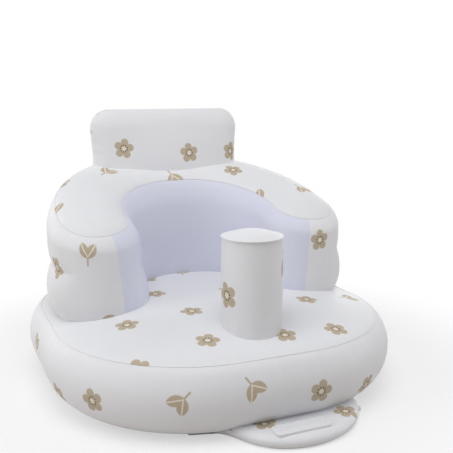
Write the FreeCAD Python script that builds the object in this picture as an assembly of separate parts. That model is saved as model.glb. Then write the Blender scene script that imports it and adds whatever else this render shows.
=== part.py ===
"""Inflatable chair for a small child: welded film chambers, a built-in foot pump and two air valves.

Millimetres. The origin lies on the floor under the middle of the base, +Z up, the sitter faces -Y.
"""
import FreeCAD, Part
import math
import os

os.makedirs("parts", exist_ok=True)
Vector = FreeCAD.Vector

# Film and general clearances
film = 0.4
weld_gap = 0.05
seat_gap = 0.3
overrun = 6.0
sections_per_arc = 6

# Base cushion: a rounded rectangle with a round rim and a crowned deck
base_width = 540.0
base_depth = 562.0
base_corner_share = 0.815
rim_radius = 62.0
deck_seam_angle = 46.0
floor_seam_angle = -60.0
deck_rise = 23.0
deck_crown_share = 0.9

# Upright baffles inside the base
baffle_end_inset = 116.0
baffle_side_inset = 150.0
vent_radius = 18.0
vents_per_baffle = 3

# Horseshoe back with its two arms: insets from the base's edges, rises above the deck's seam
arm_width = 151.8
arm_side_inset = 27.4
arm_straight = 12.7
back_rear_inset = 21.2
waist_rise = 80.4
waist_depth = 5.0
waist_fade_share = 0.35
foot_tuck = 9.0
arm_rise = 129.4
back_rise = 226.4
shoulder_share = 0.6
top_seam_inset = 13.0
top_crown_rise = 12.0
top_crown_share = 0.8
lining_seam_inset = 18.0
back_vent_angles = (45, 90, 135)

# Headrest pillow: its rise is above the back's highest seam
headrest_width = 273.0
headrest_height = 180.0
headrest_rise = 81.0
headrest_front_depth = 42.0
headrest_rear_depth = 30.0
headrest_setback = 73.8
headrest_corner_share = 0.36
headrest_crown_share = 0.85

# Post between the legs
post_radius = 41.7
post_front_inset = 99.4
post_rise = 144.4
post_swell = 1.5
post_crown = 9.0
post_lip = 2.0
post_lip_height = 1.6

# Foot pump in its flap before the base
pump_offset = 28.0
pump_half_width = 108.0
pump_reach = 42.0
pump_end_inset = 35.0
pump_rear_inset = 55.0
pump_height = 17.0
pump_edge = 11.0
pump_tuck_angle = 60.0
pad_offset = 19.0
pad_setback = 27.0
pad_length = 82.0
pad_depth = 26.0
pad_corner_share = 0.6
pad_thickness = 4.0
pad_edge = 1.5
pad_clearance = 0.5
foam_margin = 3.0
pump_tube_length = 10.0
pump_tube_head = 3.0
pump_tube_share = 0.78
pump_bore_share = 0.57
pump_inlet_angle = -28.0

# Air valves at the rear
flange_thickness = 1.2
valve_flange_radius = 19.0
valve_stem_radius = 8.0
valve_stem_wall = 2.0
valve_stem_length = 16.0
plug_clearance = 0.1
plug_length = 6.0
plug_taper = 1.0
cap_overlap = 2.0
cap_thickness = 2.0
strap_width = 8.0
strap_thickness = 1.2
strap_root = 1.1
check_flap_thickness = 0.8
check_flap_lug = 1.6
back_valve_share = 0.4


def seam_inset(angle):
    return rim_radius * (1 - math.cos(math.radians(angle)))


def seam_height(angle):
    return rim_radius * (1 + math.sin(math.radians(angle)))


# What follows from the driving dimensions
base_corner = base_corner_share * min(base_width, base_depth) / 2
deck_seam_height = seam_height(deck_seam_angle)
deck_middle_inset = base_corner * deck_crown_share
deck_reach = deck_middle_inset - seam_inset(deck_seam_angle)
deck_radius = (deck_reach ** 2 + deck_rise ** 2) / (2 * deck_rise)
deck_top = deck_seam_height + deck_rise
baffle_length = base_depth - 2 * baffle_end_inset
baffle_x = base_width / 2 - baffle_side_inset

arm_x = base_width / 2 - arm_side_inset - arm_width / 2
back_rear_y = base_depth / 2 - back_rear_inset
back_middle_y = back_rear_y - arm_x - arm_width / 2
arm_end_y = back_middle_y - arm_straight
waist_height = deck_seam_height + waist_rise
arm_seam_height = deck_seam_height + arm_rise
back_seam_height = deck_seam_height + back_rise
seam_tilt = (back_seam_height - arm_seam_height) / (back_rear_y - arm_end_y + arm_width / 2)
arm_end_seam_height = arm_seam_height + seam_tilt * arm_width / 2

headrest_top = back_seam_height + headrest_rise
headrest_y = back_rear_y - headrest_setback
headrest_corner = headrest_corner_share * headrest_height / 2
post_y = post_front_inset - base_depth / 2
post_rim_height = deck_seam_height + post_rise

pump_front_y = -base_depth / 2 - pump_reach
pump_rear_y = pump_rear_inset - base_depth / 2
pump_sag = pump_reach + pump_end_inset
pump_radius = (pump_half_width ** 2 + pump_sag ** 2) / (2 * pump_sag)
pump_centre = (pump_offset, pump_front_y + pump_radius)
pump_outlet_low = seam_height(floor_seam_angle)
pump_outlet_high = pump_height - film
pump_outlet_height = (pump_outlet_low + pump_outlet_high) / 2
pump_tube_flange = (pump_outlet_high - pump_outlet_low) / 2 - seat_gap
pump_tube_radius = pump_tube_share * pump_tube_flange
pump_tube_bore = pump_bore_share * pump_tube_flange
pad_y = pump_front_y + pad_setback
pad_low = pump_height - film

valve_bore = valve_stem_radius - valve_stem_wall
cap_radius = valve_stem_radius + cap_overlap
cap_low = flange_thickness + 2 * seat_gap
strap_reach = valve_flange_radius - strap_root - strap_thickness / 2 - seat_gap


def on_circle(centre, radius, degrees):
    angle = math.radians(degrees)
    return Vector(centre[0] + radius * math.cos(angle), centre[1] + radius * math.sin(angle), 0)


def arc(centre, radius, start, end):
    points = [on_circle(centre, radius, degrees) for degrees in (start, (start + end) / 2, end)]
    return Part.Arc(*points).toShape()


def line(start, end):
    return Part.LineSegment(Vector(*start, 0), Vector(*end, 0)).toShape()


def rounded_rectangle(width, depth, corner, inset=0.0):
    """Edges of a rounded rectangle about the origin, drawn in by the inset."""
    half_x, half_y, radius = width / 2 - inset, depth / 2 - inset, corner - inset
    x, y = half_x - radius, half_y - radius
    return [line((half_x, -y), (half_x, y)), arc((x, y), radius, 0, 90),
            line((x, half_y), (-x, half_y)), arc((-x, y), radius, 90, 180),
            line((-half_x, y), (-half_x, -y)), arc((-x, -y), radius, 180, 270),
            line((-x, -half_y), (x, -half_y)), arc((x, -y), radius, 270, 360)]


def base_outline(inset):
    return rounded_rectangle(base_width, base_depth, base_corner, inset)


def horseshoe(inset):
    """Edges of the back and arms in plan: two half circles, straight arms and round arm ends."""
    outer, inner, end = arm_x + arm_width / 2 - inset, arm_x - arm_width / 2 + inset, arm_width / 2 - inset
    middle, left_end, right_end = (0, back_middle_y), (-arm_x, arm_end_y), (arm_x, arm_end_y)
    return [line((outer, arm_end_y), (outer, back_middle_y)),
            arc(middle, outer, 0, 90), arc(middle, outer, 90, 180),
            line((-outer, back_middle_y), (-outer, arm_end_y)),
            arc(left_end, end, 180, 270), arc(left_end, end, 270, 360),
            line((-inner, arm_end_y), (-inner, back_middle_y)),
            arc(middle, inner, 180, 90), arc(middle, inner, 90, 0),
            line((inner, back_middle_y), (inner, arm_end_y)),
            arc(right_end, end, 180, 270), arc(right_end, end, 270, 360)]


def pump_outline(inset):
    """Edges of the flap in plan: a bowed front edge and a straight rear edge under the base's rim."""
    radius, rear = pump_radius - inset, pump_rear_y - inset
    reach = math.sqrt(radius ** 2 - (rear - pump_centre[1]) ** 2)
    start = 180 + math.degrees(math.atan2(pump_centre[1] - rear, reach))
    return [arc(pump_centre, radius, start, 270), arc(pump_centre, radius, 270, 540 - start),
            line((pump_offset + reach, rear), (pump_offset - reach, rear))]


def section(edges, height, tilt=0.0, forward=0.0):
    """A closed outline at a height, moved forward, and tilted about the line through the arm ends."""
    place = FreeCAD.Matrix()
    place.A24 = -forward
    place.A32 = tilt
    place.A34 = height - tilt * arm_end_y
    return Part.Wire(edges).transformGeometry(place)


def inflated(sections):
    return Part.makeLoft(sections, True, False)


def steps(start, end, count=sections_per_arc):
    return [start + (end - start) * k / count for k in range(count + 1)]


def box_between(low, high):
    size = high - low
    return Part.makeBox(size.x, size.y, size.z, low)


def disc(radius, low, high, x=0.0, y=0.0):
    return Part.makeCylinder(radius, high - low, Vector(x, y, low))


# The base


def rim_section(angle, grow):
    """Outline of the base where its round rim stands at an angle above its middle."""
    radius = rim_radius + grow
    inset = rim_radius - radius * math.cos(math.radians(angle))
    return section(base_outline(inset), rim_radius + radius * math.sin(math.radians(angle)))


def rim_form(start, end, grow=0.0):
    return inflated([rim_section(angle, grow) for angle in steps(start, end)])


def side_form(grow):
    return rim_form(floor_seam_angle, deck_seam_angle, grow)


def deck_form(grow=0.0, deeper=0.0):
    """The space under the deck's crown, grown outwards, reaching deeper than its seam."""
    radius = deck_radius + grow
    sections = []
    for angle in steps(math.asin(deck_reach / deck_radius) + deeper / deck_radius, 0):
        height = deck_top - deck_radius + radius * math.cos(angle)
        sections.append(section(base_outline(deck_middle_inset - radius * math.sin(angle)), height))
    return inflated(sections)


def base_side_wall(holes):
    over = math.degrees(overrun / rim_radius)
    return side_form(0).cut([rim_form(floor_seam_angle - over, deck_seam_angle + over, -film)] + holes)


def base_deck_panel():
    vent = disc(vent_radius, 0, deck_top + overrun, y=post_y)
    return deck_form().cut([deck_form(-film, overrun), vent])


def base_floor_panel():
    over = math.degrees(overrun / rim_radius)
    return rim_form(-90, floor_seam_angle).cut(rim_form(-90, floor_seam_angle + over, -film))


def base_baffle(x):
    """One upright sheet between floor and deck, with holes that let the air through."""
    half = baffle_length / 2
    sheet = box_between(Vector(x - film / 2, -half, film + seat_gap), Vector(x + film / 2, half, deck_top))
    room = deck_form(-film - seat_gap).fuse(rim_form(-90, deck_seam_angle))
    vents = []
    for k in range(vents_per_baffle):
        start = Vector(x - overrun, baffle_length * (k + 0.5) / vents_per_baffle - half, rim_radius)
        vents.append(Part.makeCylinder(vent_radius, 2 * overrun, start, Vector(1, 0, 0)))
    return sheet.common(room).cut(vents)


# The horseshoe back and its arms


def lower_tier(grow=0.0, below=0.0):
    """Foot to waist: bulged walls, drawn in at the foot, and at the waist most at the rear."""
    middle, half = (waist_height + deck_seam_height) / 2, (waist_height - deck_seam_height) / 2
    sections = []
    for t in steps(-1, 1):
        draw = (foot_tuck if t < 0 else waist_depth) * t ** 2
        height = middle + half * t - (below if t == -1 else 0)
        sections.append(section(horseshoe(draw - grow), height, forward=0 if t < 0 else draw))
    return inflated(sections)


def upper_tier(grow=0.0, above=0.0):
    """Waist to top seam: the seam's plane climbs towards the rear."""
    sections = []
    for u in steps(0, 1, 2 * sections_per_arc):
        draw = waist_depth * max(1 - u / waist_fade_share, 0) ** 2
        lean = top_seam_inset * max((u - shoulder_share) / (1 - shoulder_share), 0) ** 2
        height = waist_height + u * (arm_end_seam_height - waist_height) + (above if u == 1 else 0)
        sections.append(section(horseshoe(draw + lean - grow), height, u * seam_tilt, draw))
    return inflated(sections)


def top_form(grow=0.0, deeper=0.0):
    """The crowned space over the top seam."""
    reach = top_crown_share * arm_width / 2 - top_seam_inset
    sections = []
    for v in steps(0, 1):
        height = arm_end_seam_height + top_crown_rise * (1 - (1 - v) ** 2) + (grow if v else -deeper)
        sections.append(section(horseshoe(top_seam_inset + reach * v - grow), height, seam_tilt))
    return inflated(sections)


def under_top_seam():
    """All that lies under the plane of the top seam, past the walls too."""
    low, high = -base_depth, base_depth
    square = [line((low, low), (high, low)), line((high, low), (high, high)),
              line((high, high), (low, high)), line((low, high), (low, low))]
    return inflated([section(square, height, seam_tilt) for height in (0, arm_end_seam_height + seat_gap)])


def seat_side():
    """The space on the sitter's side of the horseshoe's middle line."""
    half = arm_x - lining_seam_inset
    between = box_between(Vector(-half, arm_end_y - arm_width, 0), Vector(half, back_middle_y, headrest_top))
    return between.fuse(disc(half, 0, headrest_top, y=back_middle_y))


def back_wall(holes):
    outer = lower_tier().fuse(upper_tier())
    inner = lower_tier(-film, overrun).fuse(upper_tier(-film, overrun))
    return outer.cut([inner, deck_form(seat_gap, overrun)] + holes)


def back_top_panel():
    vent = disc(vent_radius, 0, headrest_top, y=headrest_y)
    return top_form().cut([top_form(-film, overrun), vent])


def back_baffle():
    """A level sheet from wall to wall behind the waist, round the rear of the horseshoe."""
    sheet = box_between(Vector(-base_width, back_middle_y, waist_height - film),
                        Vector(base_width, base_depth, waist_height))
    vents = []
    for angle in back_vent_angles:
        point = on_circle((0, back_middle_y), arm_x, angle)
        vents.append(disc(vent_radius, 0, headrest_top, point.x, point.y))
    return sheet.common(lower_tier(-film - seat_gap)).cut(vents)


# The headrest


def headrest_form(grow=0.0):
    """A pillow: its outline in front view, lofted through its thickness."""
    reach = headrest_crown_share * headrest_corner
    middle = Vector(0, headrest_y, headrest_top - headrest_height / 2)
    turn = FreeCAD.Placement(middle, FreeCAD.Rotation(Vector(1, 0, 0), 90))
    sections = []
    for angle in steps(-90, 90, 2 * sections_per_arc):
        depth = headrest_front_depth if angle > 0 else headrest_rear_depth
        inset = reach * (1 - math.cos(math.radians(angle))) - grow
        outline = Part.Wire(rounded_rectangle(headrest_width, headrest_height, headrest_corner, inset))
        outline.translate(Vector(0, 0, (depth + grow) * math.sin(math.radians(angle))))
        outline.Placement = turn.multiply(outline.Placement)
        sections.append(outline)
    return inflated(sections)


def headrest_panels():
    """The pillow's film, welded to the back's top and parted by its upright seam."""
    shell = headrest_form().cut([headrest_form(-film), top_form(seat_gap), under_top_seam()])
    front = box_between(Vector(-base_width, -base_depth, 0), Vector(base_width, headrest_y, 2 * headrest_top))
    return shell.common(front), shell.cut(front)


# The post


def post_form(grow=0.0, above=0.0):
    """The post up to its rim, bulged a little between foot and rim."""
    radius, foot, rim = post_radius + grow, deck_seam_height, post_rim_height + above
    corners = [Vector(radius, 0, rim), Vector(0, 0, rim), Vector(0, 0, foot), Vector(radius, 0, foot)]
    side = Part.Arc(corners[3], Vector(radius + post_swell, 0, (foot + rim) / 2), corners[0])
    profile = Part.Wire([side.toShape()] + Part.makePolygon(corners).Edges)
    solid = Part.Face(profile).revolve(Vector(0, 0, 0), Vector(0, 0, 1), 360)
    solid.translate(Vector(0, post_y, 0))
    return solid


def post_wall():
    return post_form().cut([post_form(-film, overrun), deck_form(seat_gap, overrun)])


def dome(radius, rise, height):
    """A round cap of a given rise, standing on a level circle."""
    ball = (radius ** 2 + rise ** 2) / (2 * rise)
    whole = Part.makeSphere(ball, Vector(0, post_y, height + rise - ball))
    return whole.common(disc(radius, height, height + rise + overrun, y=post_y))


def post_top_disc():
    """A crowned disc with a flat welded lip that stands out past the wall."""
    lip_top = post_rim_height + post_lip_height
    lip = disc(post_radius + post_lip, post_rim_height, lip_top, y=post_y)
    opening = disc(post_radius - film, post_rim_height, lip_top, y=post_y)
    crown = dome(post_radius, post_crown, lip_top).cut(dome(post_radius - film, post_crown - film, lip_top))
    return lip.cut(opening).fuse(crown)


# The foot pump


def pump_form(grow=0.0):
    """The flap's bolster: a bulged edge and a flat top."""
    low = math.sin(math.radians(-pump_tuck_angle))
    sections = []
    for angle in steps(-pump_tuck_angle, 90):
        share = (math.sin(math.radians(angle)) - low) / (1 - low)
        inset = pump_edge * (1 - math.cos(math.radians(angle))) - grow
        sections.append(section(pump_outline(inset), film + share * (pump_height - film + grow)))
    return inflated(sections)


def pump_floor_sheet():
    outline = pump_outline(pump_edge * (1 - math.cos(math.radians(pump_tuck_angle))))
    return Part.Face(Part.Wire(outline)).extrude(Vector(0, 0, film))


def pad_block(grow, low, high):
    """A block over the press pad's outline, grown all round."""
    corner = pad_corner_share * pad_depth / 2 + grow
    outline = rounded_rectangle(pad_length + 2 * grow, pad_depth + 2 * grow, corner)
    block = Part.Face(Part.Wire(outline)).extrude(Vector(0, 0, high - low))
    block.translate(Vector(pad_offset, pad_y, low))
    return block


def pump_cover(holes):
    window = pad_block(pad_clearance, pump_height / 2, pump_height + overrun)
    base_room = rim_form(-90, deck_seam_angle, seat_gap)
    return pump_form().cut([pump_form(-film), window, base_room] + holes)


def pump_foam():
    return pad_block(-foam_margin, film + seat_gap, pad_low - seat_gap)


def pump_press_pad():
    pad = pad_block(0, pad_low, pad_low + pad_thickness)
    rim = [e for e in pad.Edges if min(v.Z for v in e.Vertexes) > pad_low + pad_thickness / 2]
    return pad.makeFillet(pad_edge, rim)


# Stems, flaps and plugs, made along +Z and then set on an upright wall


def aimed(shape, position, direction):
    """A copy of a shape, moved to a place on an upright wall and turned to face outwards."""
    up = Vector(0, 0, 1)
    turned = shape.copy()
    turned.Placement = FreeCAD.Placement(position, FreeCAD.Rotation(up.cross(direction), up, direction, "ZYX"))
    return turned


def lug_on(stem, low, high):
    """A small block on the upper side of a stem, where its flap hinges."""
    return box_between(Vector(-check_flap_lug, 0, low), Vector(check_flap_lug, stem + check_flap_lug, high))


def check_flap(stem, tail):
    """A round flap over the inner end of a stem, hung from a lug."""
    high = -tail - seat_gap
    low = high - check_flap_thickness
    return disc(stem, low, high).fuse(lug_on(stem, low, high))


def flanged_stem(stem, bore, flange, tail, head, place, form):
    """A stem through the film with a thin flange that follows the film round it."""
    solid = disc(stem, -tail, head).fuse(lug_on(stem, -tail, -2 * flange_thickness - film))
    collar = aimed(disc(flange, -flange, flange), *place).common(form(flange_thickness)).cut(form(weld_gap))
    return aimed(solid, *place).fuse(collar).cut(aimed(disc(bore, -2 * tail, 2 * tail), *place))


def stem_hole(stem, tail, place):
    return aimed(disc(stem + weld_gap, -tail, tail), *place)


def pump_inlet_place():
    point = on_circle(pump_centre, pump_radius, pump_inlet_angle)
    return Vector(point.x, point.y, pump_height / 2), on_circle((0, 0), 1, pump_inlet_angle)


def pump_outlet_place():
    inset = rim_radius - math.sqrt(rim_radius ** 2 - (rim_radius - pump_outlet_height) ** 2)
    return Vector(0, inset - base_depth / 2, pump_outlet_height), Vector(0, -1, 0)


def base_valve_place():
    return Vector(0, base_depth / 2, rim_radius), Vector(0, 1, 0)


def back_valve_place():
    height = waist_height + back_valve_share * (back_seam_height - waist_height)
    return Vector(0, back_rear_y, height), Vector(0, 1, 0)


def pump_seat(place, form):
    return flanged_stem(pump_tube_radius, pump_tube_bore, pump_tube_flange, pump_tube_length, pump_tube_head,
                        place, form)


def valve_body(place, form):
    """Flange, stem and the low block that the plug's strap hangs from."""
    root = box_between(Vector(-strap_width / 2, -valve_flange_radius, -valve_flange_radius),
                       Vector(strap_width / 2, strap_root - valve_flange_radius, flange_thickness))
    body = flanged_stem(valve_stem_radius, valve_bore, valve_flange_radius, valve_stem_length,
                        flange_thickness, place, form)
    return body.fuse(aimed(root, *place).cut(form(weld_gap)))


def valve_plug():
    """A tapered stopper under a cap, on a strap that hinges beside the flange."""
    radius = valve_bore - plug_clearance
    stopper = Part.makeCone(radius - plug_taper, radius, plug_length, Vector(0, 0, cap_low - plug_length))
    strap = box_between(Vector(-strap_width / 2, -strap_reach, cap_low),
                        Vector(strap_width / 2, 0, cap_low + strap_thickness))
    return stopper.fuse([disc(cap_radius, cap_low, cap_low + cap_thickness), strap])


def build():
    """Every piece under its name."""
    inlet, outlet = pump_inlet_place(), pump_outlet_place()
    base_valve, back_valve = base_valve_place(), back_valve_place()
    back = back_wall([stem_hole(valve_stem_radius, valve_stem_length, back_valve)])
    headrest_front, headrest_rear = headrest_panels()
    pieces = {
        "base_deck_panel": base_deck_panel(),
        "base_side_wall": base_side_wall([stem_hole(valve_stem_radius, valve_stem_length, base_valve),
                                          stem_hole(pump_tube_radius, pump_tube_length, outlet)]),
        "base_floor_panel": base_floor_panel(),
        "base_baffle_left": base_baffle(-baffle_x),
        "base_baffle_middle": base_baffle(0),
        "base_baffle_right": base_baffle(baffle_x),
        "back_outer_wall": back.cut(seat_side()),
        "back_inner_lining": back.common(seat_side()),
        "back_top_panel": back_top_panel(),
        "back_baffle": back_baffle(),
        "headrest_front_panel": headrest_front,
        "headrest_rear_panel": headrest_rear,
        "post_wall": post_wall(),
        "post_top_disc": post_top_disc(),
        "pump_floor_sheet": pump_floor_sheet(),
        "pump_cover": pump_cover([stem_hole(pump_tube_radius, pump_tube_length, inlet)]),
        "pump_foam": pump_foam(),
        "pump_press_pad": pump_press_pad(),
    }
    for name, place, form in (("pump_inlet", inlet, pump_form), ("pump_outlet", outlet, side_form)):
        pieces[name + "_seat"] = pump_seat(place, form)
        pieces[name + "_flap"] = aimed(check_flap(pump_tube_radius, pump_tube_length), *place)
    for name, place, form in (("base_valve", base_valve, side_form), ("back_valve", back_valve, upper_tier)):
        pieces[name + "_body"] = valve_body(place, form)
        pieces[name + "_flap"] = aimed(check_flap(valve_stem_radius, valve_stem_length), *place)
        pieces[name + "_plug"] = aimed(valve_plug(), *place)
    return pieces


for name, shape in build().items():
    print("%-22s %d solid, valid %s" % (name, len(shape.Solids), shape.isValid()))
    shape.exportStep(os.path.join("parts", name + ".step"))
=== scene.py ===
import math
import bmesh
import bpy
import numpy as np
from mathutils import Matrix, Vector
from numpy.linalg import norm


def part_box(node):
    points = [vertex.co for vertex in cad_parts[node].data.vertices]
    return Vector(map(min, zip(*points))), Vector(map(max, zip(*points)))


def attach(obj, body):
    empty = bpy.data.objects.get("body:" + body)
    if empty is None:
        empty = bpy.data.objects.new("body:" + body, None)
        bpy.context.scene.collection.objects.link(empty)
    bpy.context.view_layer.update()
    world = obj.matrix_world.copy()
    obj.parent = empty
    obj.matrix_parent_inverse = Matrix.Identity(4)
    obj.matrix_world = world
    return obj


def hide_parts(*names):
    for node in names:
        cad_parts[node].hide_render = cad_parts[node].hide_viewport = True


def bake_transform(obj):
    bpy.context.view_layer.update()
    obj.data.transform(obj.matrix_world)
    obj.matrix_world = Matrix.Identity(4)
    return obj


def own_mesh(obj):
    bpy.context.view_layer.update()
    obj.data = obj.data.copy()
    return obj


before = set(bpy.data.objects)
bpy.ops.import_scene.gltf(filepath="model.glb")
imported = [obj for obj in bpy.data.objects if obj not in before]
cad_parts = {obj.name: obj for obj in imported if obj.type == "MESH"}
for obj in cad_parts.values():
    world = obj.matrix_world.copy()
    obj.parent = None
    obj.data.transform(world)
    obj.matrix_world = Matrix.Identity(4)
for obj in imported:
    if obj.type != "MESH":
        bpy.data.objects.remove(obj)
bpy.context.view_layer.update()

# Base floor panel: a plain sheet of white vinyl film that the chair stands on. Its edge rolls up into the
# base's round rim and is welded all round to the foot of the side wall.
film = 0.0005
base_half = np.array(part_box("base_side_wall")[1])[:2]
base_corner = 0.220
rim_radius = 0.062
floor_seam_angle = -60
white_film = (0.80, 0.805, 0.83)
film_roughness = 0.46
cloud_size, slack_size, grain_size = 0.09, 0.022, 0.0016


def spoke(angle):
    """Cosine and sine of one angle or many, in degrees."""
    return np.cos(np.radians(angle)), np.sin(np.radians(angle))


def arc(centre, radius, start, end, count):
    """Points along an arc in plan, each with its outward normal; the last point is left to what follows."""
    spokes = np.column_stack(spoke(np.linspace(start, end, count, endpoint=False)))
    return np.hstack([np.array(centre) + radius * spokes, spokes * np.sign(end - start)])


def run(start, end, count):
    """Points along a straight stretch in plan, each with the normal on its right."""
    points = np.linspace(start, end, count, endpoint=False)
    along = np.subtract(end, start) / norm(np.subtract(end, start))
    return np.hstack([points, np.tile([along[1], -along[0]], (count, 1))])


def rounded_rectangle(half, corner, corner_count, side_count):
    """Points round a rectangle with round corners, each with its outward normal."""
    middles = np.array([(1, 1), (-1, 1), (-1, -1), (1, -1)]) * (half - corner)
    ways = np.array([(1, 0), (0, 1), (-1, 0), (0, -1)]) * corner
    stretches = []
    for quarter, way in enumerate(ways):
        stretches.append(run(middles[quarter - 1] + way, middles[quarter] + way, side_count))
        stretches.append(arc(middles[quarter], corner, 90 * quarter, 90 * quarter + 90, corner_count))
    return np.vstack(stretches)


def ring(outline, inset, height):
    """One level row of points, drawn in from an outline."""
    plan = outline[:, :2] - np.multiply(outline[:, 2:], np.reshape(inset, (-1, 1)))
    return np.column_stack([plan, np.broadcast_to(height, len(plan))])


def travelled(points):
    """Distance along a row of points, from 0."""
    return np.concatenate([[0], np.cumsum(norm(np.diff(points, axis=0), axis=1))])


def around(points):
    """Distance along a closed row of points, with the way back to its start."""
    return travelled(np.vstack([points, points[:1]]))


def climbed(rows):
    """Distance of each point from the first row, by way of the rows between."""
    steps = norm(np.diff(rows, axis=0), axis=2).cumsum(axis=0)
    return np.concatenate([np.zeros((1, rows.shape[1])), steps])


def normals_of(rows, closed):
    """Outward normals of rows of points."""
    across = np.roll(rows, -1, 1) - np.roll(rows, 1, 1) if closed else np.gradient(rows, axis=1)
    out = np.cross(across, np.gradient(rows, axis=0))
    return out / np.maximum(norm(out, axis=2, keepdims=True), 1e-12)


def ripple(along, total, wave, phase):
    """A gentle uneven wave along a seam: sine waves of like length in fixed phases."""
    waves = 0
    for k, share in enumerate((0.72, 0.9, 1.0, 1.17, 1.4)):
        waves = waves + np.cos(2 * np.pi * round(total * share / wave) * along / total + phase + 2.4 * k * k)
    return waves / 5


def plan_map(rows, shift=(0, 0)):
    """A closed skin's flat map: its plan in metres, moved by a shift."""
    return np.concatenate([rows, rows[:, :1]], axis=1)[:, :, :2] + shift


def placed(name, data):
    """A new object in the scene."""
    made = bpy.data.objects.new(name, data)
    bpy.context.scene.collection.objects.link(made)
    return made


def skin(name, rows, flat, finish, closed=True, keep=None):
    """A piece made of rows of points joined by quads, with a flat map in metres for its print."""
    same_place = 0.00002
    sharp_turn = math.radians(50)
    rows = np.asarray(rows, float)
    count, across = rows.shape[:2]
    index = np.arange(count * across).reshape(count, across)
    if closed:
        index = np.hstack([index, index[:, :1]])
    here, there = slice(None, -1), slice(1, None)
    corners = [(here, here), (here, there), (there, there), (there, here)]
    quads = np.stack([index[c] for c in corners], -1).reshape(-1, 4)
    spots = np.stack([np.asarray(flat, float)[c] for c in corners], -2).reshape(-1, 4, 2)
    if keep is not None:
        shown = keep(rows.reshape(-1, 3))[quads].any(axis=1)
        quads, spots = quads[shown], spots[shown]
    mesh = bpy.data.meshes.new(name)
    mesh.from_pydata(rows.reshape(-1, 3), [], quads.tolist())
    mesh.uv_layers.new(name="Print").data.foreach_set("uv", spots.ravel())
    work = bmesh.new()
    work.from_mesh(mesh)
    bmesh.ops.delete(work, geom=[v for v in work.verts if not v.link_faces], context="VERTS")
    bmesh.ops.remove_doubles(work, verts=work.verts, dist=same_place)
    bmesh.ops.dissolve_degenerate(work, edges=work.edges, dist=same_place / 2)
    work.edges.index_update()
    cut_edges = [edge.index for edge in work.edges if edge.is_boundary]
    work.to_mesh(mesh)
    work.free()
    mesh.polygons.foreach_set("use_smooth", [True] * len(mesh.polygons))
    mesh.set_sharp_from_angle(angle=sharp_turn)
    for cut in cut_edges:
        mesh.edges[cut].use_edge_sharp = True
    mesh.materials.append(finish)
    return placed(name, mesh)


def film_panel(name, node, finish, rows, flat, closed=True, keep=None):
    """A film panel fixed to the chair, in the place of its solid: a skin that is one film thick, inwards."""
    piece = skin(name, rows, flat, finish, closed, keep)
    thickness = piece.modifiers.new("film", "SOLIDIFY")
    thickness.thickness = film
    thickness.offset = -1
    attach(piece, "chair")
    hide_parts(node)


class Shade:
    """A socket of a material's node tree. Sums and products of sockets add Math nodes."""

    def __init__(self, tree, socket=None):
        self.tree, self.socket = tree, socket

    def node(self, kind, settings, sockets, output=0):
        """One output of a new node, whose sockets are given values or linked to other sockets."""
        made = self.tree.nodes.new(kind)
        for key, value in settings.items():
            setattr(made, key, value)
        for key, value in sockets.items():
            if isinstance(value, Shade):
                self.tree.links.new(value.socket, made.inputs[key])
            else:
                made.inputs[key].default_value = value
        return Shade(self.tree, made.outputs[output])

    def math(self, operation, *values):
        """A Math node over this socket and other values."""
        return self.node("ShaderNodeMath", {"operation": operation}, dict(enumerate((self, *values))))

    def __add__(self, other):
        return self.math("ADD", other)

    def __sub__(self, other):
        return self.math("SUBTRACT", other)

    def __mul__(self, other):
        return self.math("MULTIPLY", other)

    def __rsub__(self, other):
        return self.math("MULTIPLY_ADD", -1.0, other)

    __radd__ = __add__
    __rmul__ = __mul__

    def step(self, low, high):
        """0 below low, 1 above high, smooth between; turned round where low is the larger."""
        return self.node("ShaderNodeMapRange", {"interpolation_type": "SMOOTHSTEP"},
                         {0: self, 1: low, 2: high, 3: 0.0, 4: 1.0})

    def colour(self, low, high):
        """The colour that goes from low to high as this value goes from 0 to 1."""
        low, high = [c if isinstance(c, Shade) else (*c, 1) for c in (low, high)]
        return self.node("ShaderNodeMix", {"data_type": "RGBA"}, {"Factor": self, 6: low, 7: high}, output=2)

    def output(self, key):
        """Another output of the node that this socket is on."""
        return Shade(self.tree, self.socket.node.outputs[key])


def noise(start, place, size, detail=2.0):
    """Cloudy noise from 0 to 1 whose patches are about a size in metres across."""
    return start.node("ShaderNodeTexNoise", {}, {"Vector": place, "Scale": 1 / size, "Detail": detail})


def new_material(name):
    """A material's node tree, its main shader and places on its piece in metres."""
    material = bpy.data.materials.new(name)
    material.use_nodes = True
    tree = material.node_tree
    start = Shade(tree)
    place = start.node("ShaderNodeTexCoord", {}, {}, output="Object")
    return material, start, tree.nodes["Principled BSDF"], place


def plug(shader, socket, value):
    """Links a value to a shader's socket."""
    value.tree.links.new(value.socket, shader.inputs[socket])


def bump(start, height, strength, depth):
    """A surface's relief from a height, to a depth in metres."""
    return start.node("ShaderNodeBump", {}, {"Strength": strength, "Distance": depth, "Height": height})


def film_finish(name, colour, print_over=None):
    """Blown-up vinyl film: satin, a little cloudy, with a fine calendered grain and slack in its gloss."""
    material, start, shader, place = new_material(name)
    cloud = noise(start, place, cloud_size)
    grain = noise(start, place, grain_size, detail=3.0)
    slack = noise(start, place, slack_size, detail=1.0)
    colour_now = cloud.colour(colour, tuple(0.94 * c for c in colour))
    gloss = film_roughness + 0.1 * cloud
    if print_over:
        colour_now, ink = print_over(start, colour_now)
        gloss = gloss + 0.08 * ink
    plug(shader, "Base Color", colour_now)
    plug(shader, "Roughness", gloss)
    plug(shader, "Normal", bump(start, slack + 0.12 * grain, 0.35, 0.0006))
    shader.inputs["Specular IOR Level"].default_value = 0.25
    return material


plain_film = film_finish("plain white film", white_film)
base_outline = rounded_rectangle(base_half, base_corner, 64, 20)
base_along = around(base_outline[:, :2])


def rim_ring(angle, grow=0.0):
    """A row round the base where its rim stands at an angle above its middle height."""
    radius = rim_radius + grow
    across, up = spoke(angle)
    return ring(base_outline, rim_radius - radius * across, rim_radius + radius * up)


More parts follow.
